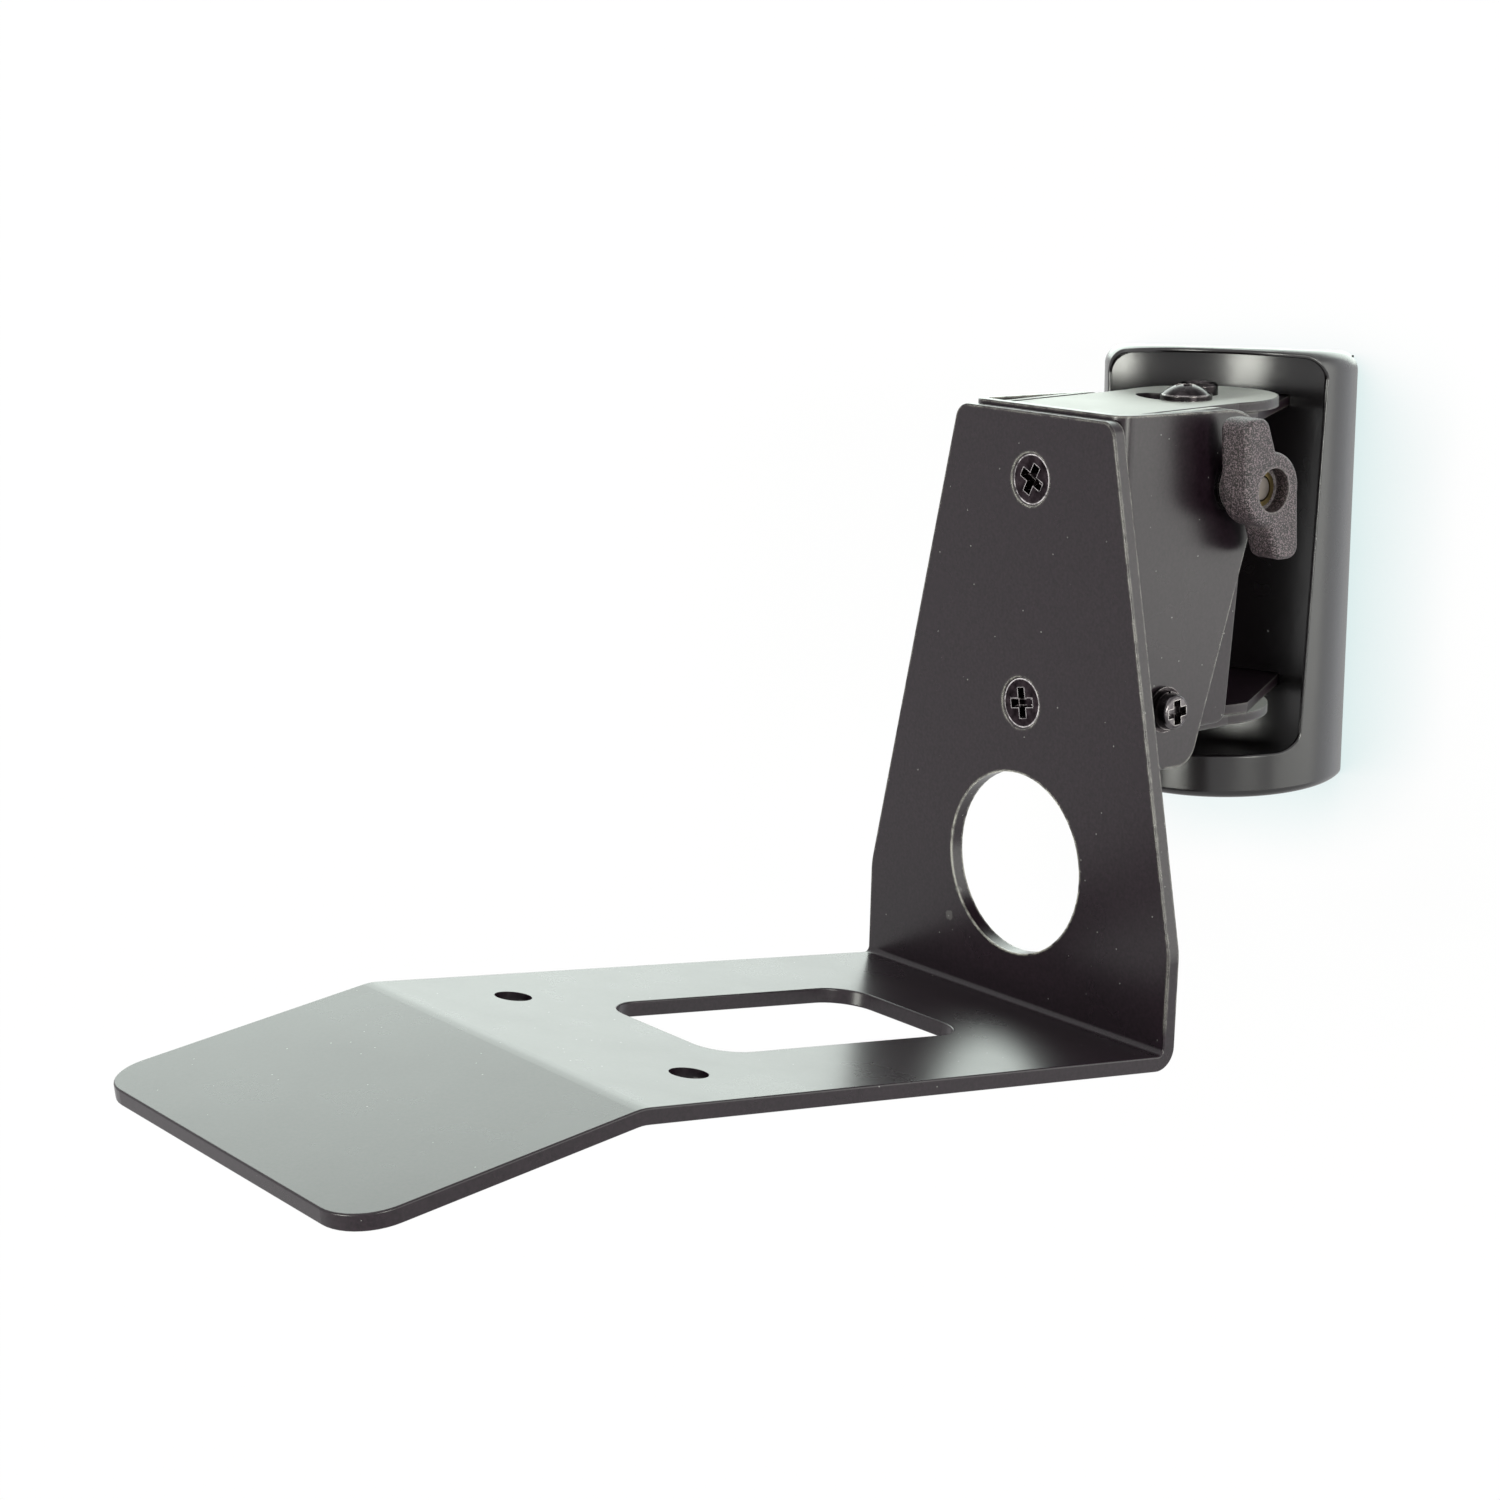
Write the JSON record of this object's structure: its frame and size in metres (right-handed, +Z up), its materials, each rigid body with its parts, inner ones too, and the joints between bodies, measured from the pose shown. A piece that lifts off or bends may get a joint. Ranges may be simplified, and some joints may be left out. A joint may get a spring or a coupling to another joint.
{
  "type": "speaker wall bracket",
  "caption": "Folded steel shelf bracket that holds a small loudspeaker off a wall, with a swivel on a curved wall cover and a tilt clamped by a wing knob.",
  "frame": {"origin": "centre of the wall plate's back face, on the wall, level with the middle of the swivel bracket", "axes": "+Y into the wall, +Z up along the swivel axis, +X to the right for someone in the room facing the wall"},
  "size_m": [0.1711, 0.244, 0.1286],
  "materials": {
    "powder_coat": "satin",
    "cover_plastic": "satin",
    "knob_plastic": "grained",
    "black_screw": "black zinc",
    "zinc": "zinc plated",
    "brass": "turned"
  },
  "bodies": {
    "wall_base": {"wall_plate": "powder_coat", "wall_cover": "cover_plastic", "pivot_rivet_upper": "black_screw", "pivot_rivet_lower": "black_screw", "swivel_lock_screw": "black_screw", "swivel_lock_washer": "black_screw", "swivel_lock_nut": "zinc"},
    "swivel": {"swivel_bracket": "powder_coat", "tilt_screw_left": "black_screw", "tilt_screw_right": "black_screw", "tilt_spring_washer_left": "black_screw", "tilt_spring_washer_right": "black_screw", "tilt_flat_washer_left": "black_screw", "tilt_flat_washer_right": "black_screw", "tilt_nut_left": "zinc", "tilt_nut_right": "zinc"},
    "cradle": {"tilt_bracket": "powder_coat", "speaker_plate": "powder_coat", "plate_screw_upper": "black_screw", "plate_screw_lower": "black_screw", "clamp_bolt": "zinc", "clamp_washer": "black_screw", "knob_washer": "black_screw"},
    "knob": {"wing_knob": "knob_plastic", "knob_insert": "brass"}
  },
  "joints": [
    {"name": "swivel_turn", "type": "hinge", "parent": "wall_base", "child": "swivel", "pos_m": [0, -0.03, 0], "axis": [0, 0, 1], "range_deg": [-10.49, 49.51]},
    {"name": "tilt_turn", "type": "hinge", "parent": "swivel", "child": "cradle", "pos_m": [-0.01453, -0.05567, -0.02445], "axis": [0.8703, -0.4926, 0], "range_deg": [0, 15]},
    {"name": "knob_turn", "type": "hinge", "parent": "cradle", "child": "knob", "pos_m": [-0.00557, -0.03983, 0.01745], "axis": [0.8703, -0.4926, 0], "continuous": true}
  ]
}
